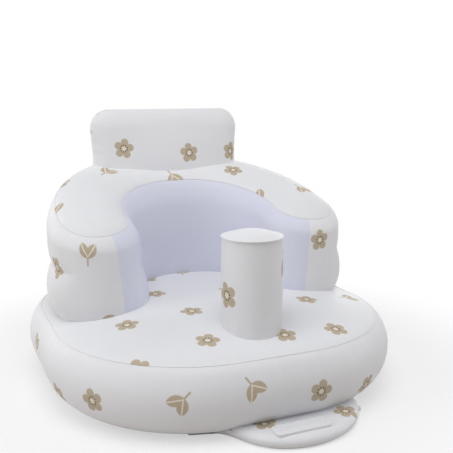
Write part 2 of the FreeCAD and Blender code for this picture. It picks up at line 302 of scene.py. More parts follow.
def to_middle(row, shares):
    """Rows that shrink towards the middle of a level row."""
    middle = row.mean(axis=0)
    return [middle + (row - middle) * share for share in shares]


floor_edge = [rim_ring(angle) for angle in np.linspace(-90, floor_seam_angle, 9)]
floor_rows = np.array(to_middle(floor_edge[0], (0.0, 0.25, 0.5, 0.75)) + floor_edge)
film_panel("base_floor", "base_floor_panel", plain_film, floor_rows, plan_map(floor_rows))

# Base side wall: one long strip of printed film, blown up into a round rim. It is welded to the floor below
# and to the deck above, and gathers a little along both welds.
deck_seam_angle = 46
deck_seam_turn = math.radians(29)
deck_seam_lean = 60
deck_seam_ease = 0.016
gather = 0.0005
gather_reach = 0.016
gather_wave = 0.021
ink_tan = (0.50, 0.42, 0.31)
ink_cream = (0.78, 0.73, 0.62)
ink_dark = (0.028, 0.022, 0.018)
motif_pitch = 0.102
motif_radius = 0.0175
motif_scatter = 0.45
leaf_chance = (0.6, 0.61)
leaf_turn = (0.8, 0.6)
petals, stamens = 5, 9
petal_power = 0.55
side_print = (0.06, 0.575)

# The parts of a motif, in shares of its radius
ink_edge = 0.05
petal_root = 0.52
petal_length = 0.46
heart_radius = 0.2
stamen_ring = 0.34
stamen_fade = (0.075, 0.045)
leaf_place = (0.06, 0.5)
leaf_bow = 0.36
leaf_round = 0.8
vein_fade = (0.075, 0.035)
stalk_middle = -0.4
stalk_side_fade = (0.1, 0.05)
stalk_end_fade = (0.52, 0.44)


def blossom_print(start, ground):
    """Blossoms and twin leaves strewn over the film, each turned its own way, in tan ink."""
    spot = start.node("ShaderNodeUVMap", {"uv_map": "Print"}, {})
    cells = start.node("ShaderNodeVectorMath", {"operation": "SCALE"}, {0: spot, "Scale": 1 / motif_pitch})
    scatter = start.node("ShaderNodeTexVoronoi", {"voronoi_dimensions": "2D"},
                         {"Vector": cells, "Scale": 1.0, "Randomness": motif_scatter})
    chance = start.node("ShaderNodeSeparateColor", {}, {0: scatter.output("Color")})
    middle = scatter.output("Position")
    away = start.node("ShaderNodeVectorMath", {"operation": "SUBTRACT"}, {0: cells, 1: middle})
    turn = chance * (2 * math.pi)
    spun = start.node("ShaderNodeVectorRotate", {"rotation_type": "Z_AXIS"}, {0: away, "Angle": turn})
    parts = start.node("ShaderNodeSeparateXYZ", {}, {0: spun})
    unit = motif_pitch / motif_radius
    x = parts * unit
    y = parts.output(1) * unit
    far = (x * x + y * y).math("SQRT")
    angle = y.math("ARCTAN2", x)
    petal = (angle * (petals / 2)).math("COSINE").math("ABSOLUTE").math("POWER", petal_power)
    flower = (far - (petal_root + petal_length * petal)).step(ink_edge, -ink_edge)
    heart = far.step(heart_radius + ink_edge, heart_radius - ink_edge)
    stamen = 2 * math.pi / stamens
    sector = (angle + stamen / 2).math("FLOORED_MODULO", stamen) - stamen / 2
    dot_x = far * sector.math("COSINE") - stamen_ring
    dot_y = far * sector.math("SINE")
    dots = (dot_x * dot_x + dot_y * dot_y).math("SQRT").step(*stamen_fade)
    side = x.math("ABSOLUTE")
    leaf_x = side * leaf_turn[0] - y * leaf_turn[1] - leaf_place[0]
    leaf_y = side * leaf_turn[1] + y * leaf_turn[0] - leaf_place[1]
    bow = leaf_x.math("ABSOLUTE") + leaf_bow
    blade = (bow * bow + leaf_y * leaf_y).math("SQRT").step(leaf_round + ink_edge, leaf_round - ink_edge)
    vein = leaf_x.math("ABSOLUTE").step(*vein_fade) * blade
    stalk = side.step(*stalk_side_fade) * (y - stalk_middle).math("ABSOLUTE").step(*stalk_end_fade)
    leafy = chance.output(1).step(*leaf_chance)
    tan = leafy * blade.math("MAXIMUM", stalk) + (1 - leafy) * flower
    cream = leafy * vein + (1 - leafy) * heart
    colour = cream.colour(tan.colour(ground, ink_tan), ink_cream)
    return ((1 - leafy) * dots).colour(colour, ink_dark), tan


printed_film = film_finish("printed white film", white_film, blossom_print)


def gathered(rows, along, distance, amount, phase, closed=True):
    """Rows swollen and drawn in along a seam, most a little way off it, by each row's distance from it."""
    near = np.reshape(distance, (-1, 1)) / gather_reach
    wave = ripple(along[:rows.shape[1]], along[-1], gather_wave, phase)
    depth = amount * near * np.exp((1 - near ** 2) / 2) * wave
    return rows + normals_of(rows, closed) * depth[:, :, None]


def eased(rows, outward, distance, turn, reach):
    """Rows drawn in near a weld, so that two panels that meet there at an angle make a soft round."""
    depth = turn / (4 * reach) * np.maximum(reach - np.reshape(distance, (-1, 1)), 0) ** 2
    return rows - outward * depth[:, :, None]


lean_out, lean_up = spoke(deck_seam_lean)
rim_outward = np.column_stack([base_outline[:, 2:] * lean_out, np.full(len(base_outline), lean_up)])
side_angles = np.linspace(floor_seam_angle, deck_seam_angle, 44)
side_rows = np.array([rim_ring(angle) for angle in side_angles])
side_up = rim_radius * np.radians(side_angles - floor_seam_angle)
side_rows = gathered(side_rows, base_along, side_up[-1] - side_up, gather, 0.4)
side_rows = gathered(side_rows, base_along, side_up, gather, 1.9)
side_rows = eased(side_rows, rim_outward, side_up[-1] - side_up, deck_seam_turn, deck_seam_ease)
side_flat = np.stack(np.meshgrid(base_along + side_print[0], side_up + side_print[1]), -1)
film_panel("base_side", "base_side_wall", printed_film, side_rows, side_flat)

# Base deck: the printed sheet that the sitter rests on, crowned by the air under it. Its welded edge stands
# out all round as a narrow fin.
deck_rise = 0.023
deck_crown_share = 0.9
fin_width = 0.0008
deck_print = (0.41, 0.33)
deck_seam_inset = rim_radius * (1 - spoke(deck_seam_angle)[0])
deck_seam_height = rim_radius * (1 + spoke(deck_seam_angle)[1])
deck_middle_inset = base_corner * deck_crown_share
deck_reach = deck_middle_inset - deck_seam_inset


def crown(distance, reach, rise):
    """Height of a round cap over its edge, at a distance from its middle."""
    ball = (reach ** 2 + rise ** 2) / (2 * rise)
    return rise - ball + np.sqrt(ball ** 2 - distance ** 2)


def crown_height(inset):
    """Height of the deck at an inset from the base's outline."""
    left = np.clip(deck_middle_inset - inset, 0, deck_reach)
    return deck_seam_height + crown(left, deck_reach, deck_rise)


def base_inset(plan):
    """How far places in plan lie in from the base's outline."""
    past = np.abs(plan) - (base_half - base_corner)
    outside = norm(np.maximum(past, 0), axis=-1) + np.minimum(past.max(axis=-1), 0)
    return base_corner - outside


def deck_height(plan):
    """Height of the deck at places in plan."""
    return crown_height(base_inset(plan))


deck_insets = np.linspace(deck_seam_inset, deck_middle_inset, 46)
deck_rows = np.array([ring(base_outline, inset, crown_height(inset)) for inset in deck_insets])
deck_rows = gathered(deck_rows, base_along, deck_insets - deck_seam_inset, gather, 2.7)
deck_rows = np.concatenate([[rim_ring(deck_seam_angle, fin_width)], deck_rows])
deck_from_seam = np.append(0, deck_insets - deck_seam_inset)
deck_rows = eased(deck_rows, rim_outward, deck_from_seam, deck_seam_turn, deck_seam_ease)
deck_rows = np.concatenate([deck_rows, to_middle(deck_rows[-1], (0.75, 0.5, 0.25, 0.0))])
deck_flat = plan_map(deck_rows, deck_print)
film_panel("base_deck", "base_deck_panel", printed_film, deck_rows, deck_flat)

# Horseshoe back and arms: an outer wall of printed film and a plain, unprinted lining on the sitter's side,
# whose lavender-blue tint is painted bluish shade. A level weld behind draws the walls in at the waist, and
# their feet are welded to the deck.
arm_width = 0.1518
arm_side_inset = 0.0274
arm_straight = 0.0127
back_rear_inset = 0.0212
waist_rise = 0.0804
waist_depth = 0.005
waist_fade_share = 0.35
waist_fade_run = 0.026
waist_front_reach = 0.064
foot_tuck = 0.009
foot_sink = 0.0015
tier_swell = 0.004
arm_rise = 0.1294
back_rise = 0.2264
shoulder_share = 0.6
top_seam_inset = 0.013
lining_seam_inset = 0.018
# The lining's plain, unprinted film, with a lavender-blue tint that is painted bluish shade on the walls
# facing the sitter.
plain_lining_and_blue_shade = (0.72, 0.735, 0.85)
lining_lean = 0.024
lean_front_share = 0.5
top_seam_turn = math.radians(36)
top_seam_ease = 0.012
outer_print = (0.108, 0.02)
lower_rows, upper_rows = 24, 40

back_rear_y = base_half[1] - back_rear_inset
arm_x = base_half[0] - arm_side_inset - arm_width / 2
back_middle = (0, back_rear_y - arm_x - arm_width / 2)
arm_end_y = back_middle[1] - arm_straight
waist_height = deck_seam_height + waist_rise
waist_front_y = arm_end_y - waist_front_reach
seam_tilt = (back_rise - arm_rise) / (back_rear_y - arm_end_y + arm_width / 2)
arm_end_seam_height = deck_seam_height + arm_rise + seam_tilt * arm_width / 2
seam_turn = math.degrees(math.asin(lining_seam_inset / (arm_width / 2)))
outer_x, inner_x = arm_x + arm_width / 2, arm_x - arm_width / 2


def arm_to_arm(side, reach, count):
    """One side of the horseshoe in plan, from the seam on the front of one arm to that of the other."""
    x, back_y = side * reach, back_middle[1]
    return np.vstack([
        arc((side * arm_x, arm_end_y), arm_width / 2, 270 - side * seam_turn, 360, count),
        run((x, arm_end_y), (x, back_y), 3),
        arc(back_middle, reach, 90 - side * 90, 90 + side * 90, 150),
        run((-x, back_y), (-x, arm_end_y), 3),
        arc((-side * arm_x, arm_end_y), arm_width / 2, 180, 270 + side * seam_turn, count)])


outer_path = arm_to_arm(1, outer_x, 30)
inner_path = arm_to_arm(-1, inner_x, 22)
horseshoe = np.vstack([outer_path, inner_path])


def seam_plane(y):
    """Height of the top seam, which climbs towards the rear."""
    return arm_end_seam_height + seam_tilt * (y - arm_end_y)


def lean_facing(side, facing):
    """How far film on one side of the chair leans at the top seam, most where it faces the other side."""
    return lining_lean / 2 * np.maximum(1 - side * facing[:, 0] + lean_front_share * facing[:, 1], 0)


def lean_inset(path):
    """How far the wall leans in at the top seam: most on the sitter's side, nothing on the outside."""
    inset = lean_facing(np.sign(path[:, 0]), path[:, 2:])
    outside = (path[:, 3] > 0) & (norm(path[:, :2] - back_middle, axis=1) > arm_x)
    return np.where(outside, 0, inset)


def leaned(path, share):
    """The horseshoe's outline at a share of the wall's height; the arms' fronts slide out as they narrow."""
    slide = np.sign(path[:, 0]) * lining_lean / 2 * np.minimum(path[:, 3], 0) ** 2 * share
    slide = np.where(path[:, 1] < arm_end_y, slide, 0)
    along = np.column_stack([-path[:, 3], path[:, 2]])
    moved = path.copy()
    moved[:, :2] += along * (slide * along[:, 0])[:, None] - path[:, 2:] * (lean_inset(path) * share)[:, None]
    return moved


def wall_rows(path, swell):
    """The wall over a stretch of the horseshoe's outline, from its foot on the deck to the top seam."""
    rows = []
    waist = np.clip((path[:, 1] - waist_front_y) / waist_fade_run, 0, 1)
    waist = waist ** 2 * (3 - 2 * waist)
    foot = deck_height(ring(path, foot_tuck, 0)[:, :2]) - foot_sink
    top = seam_plane(path[:, 1])
    middle, half = (waist_height + deck_seam_height) / 2, waist_rise / 2
    for share in np.linspace(0, 1, lower_rows):
        height = foot + (waist_height - foot) * share
        t = (height - middle) / half
        draw = np.where(t < 0, foot_tuck, waist_depth * waist) * t ** 2
        lean = np.clip((height - deck_seam_height) / (top - deck_seam_height), 0, 1)
        row = ring(leaned(path, lean), draw - swell * waist * np.maximum(1 - t ** 2, 0), height)
        row[:, 1] -= np.where(t < 0, 0, waist_depth * waist * t ** 2)
        rows.append(row)
    for share in np.linspace(0, 1, upper_rows)[1:]:
        draw = waist_depth * waist * max(1 - share / waist_fade_share, 0) ** 2
        shoulder = top_seam_inset * max((share - shoulder_share) / (1 - shoulder_share), 0) ** 2
        height = waist_height + share * (top - waist_height)
        lean = np.clip((height - deck_seam_height) / (top - deck_seam_height), 0, 1)
        row = ring(leaned(path, lean), draw + shoulder, 0)
        row[:, 1] -= draw
        row[:, 2] = waist_height + share * (seam_plane(row[:, 1]) - waist_height)
        rows.append(row)
    return np.array(rows)


def seam_outward(path):
    """Directions half way between out and up, along the top seam."""
    return np.column_stack([path[:, 2:], np.ones(len(path))]) / math.sqrt(2)


def wall_piece(name, node, finish, path, shift, swell):
    """One wall of the horseshoe, gathered along its foot, its top seam and its waist."""
    rows = wall_rows(path, swell)
    along = travelled(path[:, :2])
    up = climbed(rows).mean(axis=1)
    from_waist = np.abs(up - up[lower_rows - 1])
    for distance, phase in ((up, 0.3), (up[-1] - up, 1.1), (from_waist, 4.0)):
        rows = gathered(rows, along, distance, gather, phase, closed=False)
    rows = eased(rows, seam_outward(path), up[-1] - up, top_seam_turn, top_seam_ease)
    flat = np.stack(np.broadcast_arrays(along + shift[0], rows[:, :, 2] + shift[1]), -1)
    film_panel(name, node, finish, rows, flat, closed=False)


# The lining's finish: plain film whose lavender-blue tint is painted bluish shade.
lining_film = film_finish("plain lining film with painted blue shade", plain_lining_and_blue_shade)
outer_side = np.vstack([outer_path, inner_path[:1]])
inner_side = np.vstack([inner_path, outer_path[:1]])
wall_piece("back_outer", "back_outer_wall", printed_film, outer_side, outer_print, tier_swell)
wall_piece("back_lining", "back_inner_lining", lining_film, inner_side, (0.0, 0.0), 0.0)

# Back baffle: a level sheet of plain film with round vents, welded from wall to wall behind the waist. Its
# front edge follows the lining, which leans away from the sitter.
baffle_front_band = 0.02


def trimmed_baffle():
    """The solid sheet, with its front edge moved back to the leaning lining."""
    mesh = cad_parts["back_baffle"].data.copy()
    for corner in mesh.vertices:
        plan = np.array(corner.co.xy) - back_middle
        away = norm(plan)
        if away < inner_x + baffle_front_band:
            on_lining = np.array([[*corner.co.xy, *(-plan / away)]])
            share = waist_rise / (seam_plane(corner.co.y) - deck_seam_height)
            corner.co.xy += Vector(plan / away * lean_inset(on_lining)[0] * share)
    mesh.materials.clear()
    mesh.materials.append(plain_film)
    piece = placed("back_waist_baffle", mesh)
    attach(piece, "chair")
    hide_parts("back_baffle")


trimmed_baffle()

# Top panel of back and arms: a printed horseshoe of film, crowned, and welded to both walls in one tilted
# plane. Its welded edge is a narrow fin.
top_crown_rise = 0.012
top_crown_share = 0.8
top_reach = top_crown_share * arm_width / 2 - top_seam_inset
top_row_count = 26
top_print = (0.23, 0.61)


def top_crown(share):
    """Rise of the top panel over its seam's plane at a share of the way to its middle."""
    return top_crown_rise * (1 - (1 - np.clip(share, 0, 1)) ** 2)


def top_rows_from(outline, count):
    """Rows of the top panel from its weld to the middle line of the back and the arms."""
    edge = leaned(outline, 1.0)
    side = np.sign(outline[:, 0])
    inner = norm(outline[:, :2] - back_middle, axis=1) < arm_x
    facing = np.where(inner, 1, -1)[:, None] * outline[:, 2:]
    middle = ring(edge, (arm_width - lean_facing(side, facing)) / 2, 0)[:, :2]
    ends = outline[:, 1] < arm_end_y
    for turn in (-1, 1):
        end = np.array([turn * (arm_x + lining_lean / 2), arm_end_y])
        middle[ends & (side == turn)] = end
    weld = ring(edge, top_seam_inset, 0)[:, :2]
    rows = []
    for share in np.linspace(0, 1, count):
        plan = weld + (middle - weld) * share
        rows.append(np.column_stack([plan, seam_plane(plan[:, 1]) + top_crown(share / top_crown_share)]))
    return np.array(rows)


horseshoe_along = around(horseshoe[:, :2])
top_rows = top_rows_from(horseshoe, top_row_count)
top_middle = top_rows[-1].copy()
top_from_seam = np.linspace(0, arm_width / 2 - top_seam_inset, top_row_count)
top_rows = gathered(top_rows, horseshoe_along, top_from_seam, gather, 0.9)
top_rows[-1] = top_middle
horseshoe_outward = seam_outward(horseshoe)
fin_row = top_rows[0] + horseshoe_outward * fin_width
top_rows = np.concatenate([[fin_row], top_rows])
top_rows = eased(top_rows, horseshoe_outward, np.append(0, top_from_seam), top_seam_turn, top_seam_ease)
top_flat = plan_map(top_rows, top_print)
film_panel("back_top", "back_top_panel", printed_film, top_rows, top_flat)

# Headrest: a pillow of two printed sheets, welded together round its middle and seated on the top panel,
# whose air it shares. Its front slopes back to the weld at its top.
headrest_half = np.array([0.273, 0.180]) / 2
headrest_rise = 0.081
headrest_front_depth = 0.042
headrest_rear_depth = 0.030
headrest_corner = 0.36 * headrest_half[1]
headrest_edge = 0.85 * headrest_corner
headrest_setback = 0.0738
headrest_top = deck_seam_height + back_rise + headrest_rise
headrest_middle = (0, back_rear_y - headrest_setback, headrest_top - headrest_half[1])
headrest_sink = 0.005
headrest_turn = 70
headrest_dome = 0.009
headrest_taper = 0.003
headrest_taper_run = 0.04
headrest_lean = 0.5
headrest_lean_foot = 0.295
headrest_wide_height = 0.378
headrest_left = headrest_middle[0] - headrest_half[0]
headrest_gather = 1.4 * gather
headrest_fin = 0.6 * fin_width
headrest_front_print = (0.4, 0.175)
headrest_rear_print = (1.3, 0.9)
headrest_outline = rounded_rectangle(headrest_half, headrest_corner, 28, 40)


def top_height(points):
    """Height of the back's top panel under places in plan."""
    away = norm(points[:, :2] - back_middle, axis=1)
    inset = arm_width / 2 - np.abs(away - arm_x)
    return seam_plane(points[:, 1]) + top_crown((inset - top_seam_inset) / top_reach)


def headrest_row(angle, depth, grow=0.0):
    """One upright row of the pillow at an angle round its edge, narrowed towards its foot."""
    across, out = spoke(angle)
    last_across, last_out = spoke(headrest_turn)
    share = (1 - across) / (1 - last_across)
    flat = ring(headrest_outline, headrest_edge * share - grow, 0)
    x, z = flat[:, 0], flat[:, 1] + headrest_middle[2]
    x = x - np.sign(x) * headrest_taper * np.clip((headrest_wide_height - z) / headrest_taper_run, 0, 1)
    y = np.full(len(flat), headrest_middle[1] - depth * out / last_out)
    return np.column_stack([x + headrest_middle[0], y, z])


def creased(rows, start, end, depth, width):
    """Rows dented along a short fold that is deepest where it starts."""
    start, along = np.array(start), np.subtract(end, start)
    share = np.clip((rows - start) @ along / (along @ along), 0, 1)
    away = norm(rows - start - share[:, :, None] * along, axis=2)
    dent = depth * np.exp(-(away / width) ** 2) * (1 - share)
    return rows - normals_of(rows, closed=True) * dent[:, :, None]


def headrest_panel(name, node, side, depth, shift, folds=()):
    """Front or rear sheet of the pillow: a round edge, then a dome to its middle."""
    angles = np.linspace(0, headrest_turn, 24)
    edge_depth = side * (depth - headrest_dome)
    edge = np.array([headrest_row(angle, edge_depth) for angle in angles])
    shares = np.linspace(1, 0, 16)[1:]
    dome = np.array(to_middle(edge[-1], shares))
    spread = np.abs(dome - headrest_middle)[:, :, (0, 2)] / (headrest_half - headrest_edge)
    dome[:, :, 1] -= side * headrest_dome * np.prod(np.clip(1 - spread ** 2, 0, 1), axis=2)
    rows = np.concatenate([edge, dome])
    out = climbed(edge[::-1])[:0:-1]
    flat = rows[:, :, (0, 2)]
    flat[:len(out)] = flat[len(out)] + headrest_outline[:, 2:] * out[:, :, None]
    if side < 0:
        rows, flat = rows[::-1], flat[::-1]
    along = around(headrest_outline[:, :2])
    distance = np.concatenate([np.radians(angles) * depth, np.full(len(dome), 1.0)])[::side]
    rows = gathered(rows, along, distance, headrest_gather, 0.5)
    for start, end, fold_depth, width in folds:
        rows = creased(rows, start, end, fold_depth, width)
    if side > 0:
        climb = np.maximum(rows[:, :, 2] - headrest_lean_foot, 0) / (headrest_top - headrest_lean_foot)
        rows[:, :, 1] += (headrest_middle[1] - rows[:, :, 1]) * headrest_lean * climb
        rows = np.concatenate([[headrest_row(0, edge_depth, headrest_fin)], rows])
        flat = np.concatenate([flat[:1], flat])
    film_panel(name, node, printed_film, rows, plan_map(flat, shift),
               keep=lambda points: points[:, 2] > top_height(points) - headrest_sink)


weld_y = headrest_middle[1]
fold_end_x = headrest_left + 0.024
side_fold = ((headrest_left, weld_y, 0.376), (fold_end_x, weld_y - 0.034, 0.369), 0.0028, 0.0034)
corner_fold = ((headrest_left + 0.014, weld_y, headrest_top - 0.006),
               (fold_end_x, weld_y - 0.024, headrest_top - 0.012), 0.0016, 0.003)
headrest_panel("headrest_front", "headrest_front_panel", 1, headrest_front_depth, headrest_front_print,
               folds=(side_fold, corner_fold))
headrest_panel("headrest_rear", "headrest_rear_panel", -1, headrest_rear_depth, headrest_rear_print)

# Post between the legs: a tube of printed film welded to the deck. A crowned white disc closes it, whose
# welded lip stands out round the rim.
post_radius = 0.0417
post_setback = 0.0994
post_rise = 0.1444
post_swell = 0.0015
post_crown = 0.009
post_lip = 0.002
post_lip_height = 0.0016
disc_margin = 0.001
disc_sink = 0.0006
post_row_count = 40
post_print = (0.05, 0.77)
post_place = np.array([0, post_setback - base_half[1]])
post_rim_height = deck_seam_height + post_rise
post_outline = arc(post_place, post_radius, 90, 450, 120)
post_along = around(post_outline[:, :2])


def post_rows():
    """Rows of the post's wall, swollen a little, from the deck to its rim."""
    rows = []
    for share in np.linspace(0, 1, post_row_count):
        swell = 4 * post_swell * share * (1 - share)
        row = ring(post_outline, -swell, 0)
        foot = deck_height(row[:, :2]) - foot_sink
        row[:, 2] = foot + (post_rim_height - foot) * share
        rows.append(row)
    return np.array(rows)


post_wall_rows = post_rows()
post_up = np.linspace(0, post_rim_height - deck_seam_height - deck_rise, post_row_count)
post_wall_rows = gathered(post_wall_rows, post_along, post_up, gather, 0.2)
post_wall_rows = gathered(post_wall_rows, post_along, post_up[-1] - post_up, gather, 2.2)
post_flat = np.stack(np.meshgrid(post_along + post_print[0], post_up + post_print[1]), -1)
film_panel("post_side", "post_wall", printed_film, post_wall_rows, post_flat)

lip_top = post_rim_height + post_lip_height
disc_profile = [(film, post_rim_height - disc_margin), (0, post_rim_height),
               (-post_lip, post_rim_height + 0.2 * post_lip_height),
               (-post_lip, post_rim_height + 0.8 * post_lip_height), (-0.4 * post_lip, lip_top)]
disc_radius = post_radius - disc_margin
for distance in np.linspace(disc_radius, 0, 24):
    height = lip_top - disc_sink + crown(distance, disc_radius, post_crown)
    disc_profile.append((post_radius - distance, height))
disc_rows = np.array([ring(post_outline, inset, height) for inset, height in disc_profile])
film_panel("post_top", "post_top_disc", plain_film, disc_rows, plan_map(disc_rows))

# Foot pump's floor sheet: plain film flat on the floor before the base, under the pump's foam. The cover is
# welded to its edge all round.
pump_middle = np.array([0.028, -0.2088])
pump_reach = 0.1142
pump_neck = 0.081
pump_flare = 0.093
pump_edge = 0.011
pump_height = 0.017
pump_tuck = 60
pump_rear_y = -0.222
flap_sweep = (184, 356)
flap_front_angle = 270
flap_narrow_sweep = 80
sheet_height = 0.0006


def flap_front_edge():
    """The flap's bowed front edge in plan, which narrows on its left and runs out along the base."""
    angles = np.linspace(*flap_sweep, 260)
    turn = np.maximum(flap_front_angle - angles, 0) / flap_narrow_sweep
    reach = pump_reach - pump_neck * turn ** 4 + pump_flare * turn ** 6
    front = pump_middle + reach[:, None] * np.column_stack(spoke(angles))
    front = front[front[:, 1] < pump_rear_y]
    along = np.gradient(front, axis=0)
    along = along / norm(along, axis=1, keepdims=True)
    return np.hstack([front, along[:, 1:], -along[:, :1]])


flap_front = flap_front_edge()
flap_rear = run((flap_front[-1, 0], pump_rear_y), (flap_front[0, 0], pump_rear_y), 120)
flap_edge = np.vstack([flap_front, flap_rear])
sheet_row = ring(flap_edge, pump_edge * (1 - spoke(pump_tuck)[0]), sheet_height)
sheet_rows = np.array([sheet_row] + to_middle(sheet_row, (0.6, 0.2, 0.0)))
film_panel("pump_sheet", "pump_floor_sheet", plain_film, sheet_rows, plan_map(sheet_rows))

# Foam block in the pump: open-cell foam, cut square, with sides that bulge a little. It stands loose on the
# floor sheet under the pad, fills the pump with air again and lifts the pad.
pad_middle = np.array([0.019, -0.296])
pad_half = np.array([0.041, 0.013])
pad_corner = 0.0078
pad_corner_points, pad_side_points = 12, 16
foam_margin = 0.003
foam_round = 0.0006
foam_low, foam_high = 0.0007, 0.0163
foam_pore = 0.0014
foam_cream = (0.80, 0.74, 0.58)
foam_shade = (0.55, 0.47, 0.33)
pad_outline = rounded_rectangle(pad_half, pad_corner, pad_corner_points, pad_side_points)
pad_outline[:, :2] += pad_middle


def block_rows(outline, profile):
    """Rows over an outline by inset and height, closed over its middle at both ends."""
    rows = [ring(outline, inset, height) for inset, height in profile]
    return np.array(to_middle(rows[0], (0.0, 0.5)) + rows + to_middle(rows[-1], (0.5, 0.0)))


def block(name, outline, profile, finish):
    """A closed piece over an outline."""
    rows = block_rows(outline, profile)
    return skin(name, rows, plan_map(rows), finish)


def foam_finish():
    """Open-cell foam: cream, with pores that shade it and roughen its faces."""
    material, start, shader, place = new_material("open foam")
    pores = start.node("ShaderNodeTexVoronoi", {}, {"Vector": place, "Scale": 1 / foam_pore})
    cloud = noise(start, place, 0.012)
    plug(shader, "Base Color", (0.5 * pores + 0.2 * cloud).colour(foam_cream, foam_shade))
    plug(shader, "Roughness", 0.85 + 0.1 * cloud)
    plug(shader, "Normal", bump(start, pores, 0.6, 0.0006))
    return material


foam_profile = [(foam_margin + foam_round, foam_low), (foam_margin, foam_low + foam_round),
                (foam_margin - foam_round, (foam_low + foam_high) / 2),
                (foam_margin, foam_high - foam_round), (foam_margin + foam_round, foam_high)]
foam = block("pump_foam_block", pad_outline, foam_profile, foam_finish())
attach(foam, "chair")
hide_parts("pump_foam")
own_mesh(foam)

# Pump cover: printed film over the foam, bulged at its edge and welded to the floor sheet. Four gores meet
# the press pad.
pad_overlap = 0.0003
cover_print = (0.335, 0.79)
bulge_rows = 9
gores = (("rear", (0, 1), (1, 1)), ("left", (-1, 0), (-1, 1)),
         ("front", (0, -1), (-1, -1)), ("right", (1, 0), (1, -1)))


def edge_index(corner, direction):
    """The point of the flap's edge that a slanting line from the pad's corner comes nearest to."""
    away = flap_edge[:, :2] - corner
    across = np.abs(away[:, 0] * direction[1] - away[:, 1] * direction[0])
    across[away @ np.array(direction) < 0] = 1.0
    return int(np.argmin(across))


def edge_between(first, last):
    """Indices of the flap's edge from one point on to another, past its start where needed."""
    return np.arange(first, last + 1 + (len(flap_edge) if last < first else 0)) % len(flap_edge)


def pad_side(gore, count):
    """Points on one side of the pad's opening, from the middle of one corner to the middle of the next."""
    opening = rounded_rectangle(pad_half - pad_overlap, pad_corner, pad_corner_points, pad_side_points)[:, :2]
    step = pad_corner_points + pad_side_points
    first = pad_side_points + pad_corner_points // 2 + gore * step
    chosen = np.roll(opening, -first, axis=0)[:step + 1]
    share = travelled(chosen) / travelled(chosen)[-1]
    wanted = np.linspace(0, 1, count)
    return np.column_stack([np.interp(wanted, share, chosen[:, k]) for k in (0, 1)]) + pad_middle


def bulge_height(rise):
    """Height of the cover by the sine of the angle that its bulge has come to."""
    low = -spoke(pump_tuck)[1]
    return film + (pump_height - film) * (rise - low) / (1 - low)


def cover_height(plan):
    """Height of the cover at places in plan, by how far they lie in from its bulged front edge."""
    inset = norm(plan[:, None] - flap_front[None, :, :2], axis=2).min(axis=1)
    return bulge_height(np.sqrt(1 - np.clip(1 - inset / pump_edge, 0, 1) ** 2))


def cover_rows(edge, gore):
    """Rows of one gore, from the weld on the floor, out round the bulge and in to the pad."""
    rows = []
    for angle in np.linspace(-pump_tuck, 0, bulge_rows)[:-1]:
        across, up = spoke(angle)
        rows.append(ring(edge, pump_edge * (1 - across), bulge_height(up)))
    inner = pad_side(gore, len(edge))
    for share in np.linspace(0, 1, 34) ** 1.7:
        plan = edge[:, :2] + (inner - edge[:, :2]) * share
        rows.append(np.column_stack([plan, cover_height(plan)]))
    return np.array(rows)


def outside_base(points):
    """Which points lie outside the base's round rim."""
    inset = np.minimum(base_inset(points[:, :2]), rim_radius)
    return np.hypot(rim_radius - inset, points[:, 2] - rim_radius) > rim_radius


def cover_gore(gore, first, last):
    """One gore of the cover, from its weld at the flap's edge in to the pad."""
    name, side = gores[gore][:2]
    rows = cover_rows(flap_edge[edge_between(first, last)], gore)
    reach = climbed(rows[::-1])[::-1]
    way = rows[bulge_rows, :, :2] - rows[-1, :, :2]
    way = way / norm(way, axis=1, keepdims=True)
    flat = rows[-1, :, :2] + way * reach[:, :, None] + cover_print
    piece = skin("pump_cover_" + name, rows, flat, printed_film, closed=False, keep=outside_base)
    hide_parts("pump_cover")
    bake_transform(piece)


mitres = [edge_index(pad_middle + (pad_half - pad_overlap) * turn, turn) for name, side, turn in gores]
for gore in range(len(gores)):
    cover_gore(gore, mitres[gore], mitres[(gore + 1) % len(gores)])

# Press pad: a raised plate of plain white film over the foam, welded into the cover, that a foot treads down.
# Its edges are rounded, and a welded groove runs round its top.
pad_low, pad_high = 0.0150, 0.0206
pad_round = 0.0015
pad_bevel = 0.0006
pad_groove = 0.0012
groove_insets = (0.0022, 0.0031, 0.0042, 0.0054)
pad_crown_inset, pad_crown = 0.008, 0.0003
pad_profile = [(pad_bevel, pad_low), (0.0, pad_low + pad_bevel)]
for angle in np.linspace(0, 90, 7):
    across, up = spoke(angle)
    pad_profile.append((pad_round * (1 - across), pad_high - pad_round * (1 - up)))
groove_low = pad_high - pad_groove
pad_profile += zip(groove_insets, (pad_high, groove_low, groove_low, pad_high))
pad_profile.append((pad_crown_inset, pad_high + pad_crown))
press_pad = block("pump_pad_plate", pad_outline, pad_profile, plain_film)
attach(press_pad, "pump_pad")
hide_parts("pump_press_pad")

# Air valves, bodies: one for each chamber, at the rear. A soft white vinyl moulding is welded to the film by
# its flange, which follows the film, and has a lug below for the plug's strap.
valve_flange = 0.019
valve_stem = 0.008
valve_bore = 0.006
valve_length = 0.016
flange_thick = 0.0012
flange_round = 0.001
flange_middle = 0.0004
flange_bend_run = 0.003
weld_outer, weld_inner = 0.0177, 0.0105
weld_pitch = 0.0012
weld_depth = 0.0002
mouth_outer, mouth_inner = 0.009, 0.0066
mouth_round = 0.0006
strap_lug = 0.0042
lug_side_run = 0.0008
lug_start = 0.0174
lug_start_run = 0.0006
vinyl_white = (0.76, 0.77, 0.79)
vinyl_shade = (0.68, 0.69, 0.70)
base_valve_place = np.array([0, base_half[1], rim_radius])
back_valve_height = 0.2454
back_valve_place = np.array([0, back_rear_y, back_valve_height])


def vinyl_finish():
    """Moulded soft vinyl: milky white, glossy where it was polished, with faint flow marks."""
    material, start, shader, place = new_material("moulded vinyl")
    flow = noise(start, place, 0.006, detail=3.0)
    fine = noise(start, place, 0.0007)
    plug(shader, "Base Color", flow.colour(vinyl_white, vinyl_shade))
    plug(shader, "Roughness", 0.26 + 0.16 * flow)
    plug(shader, "Normal", bump(start, flow + 0.3 * fine, 0.25, 0.0002))
    return material


valve_vinyl = vinyl_finish()


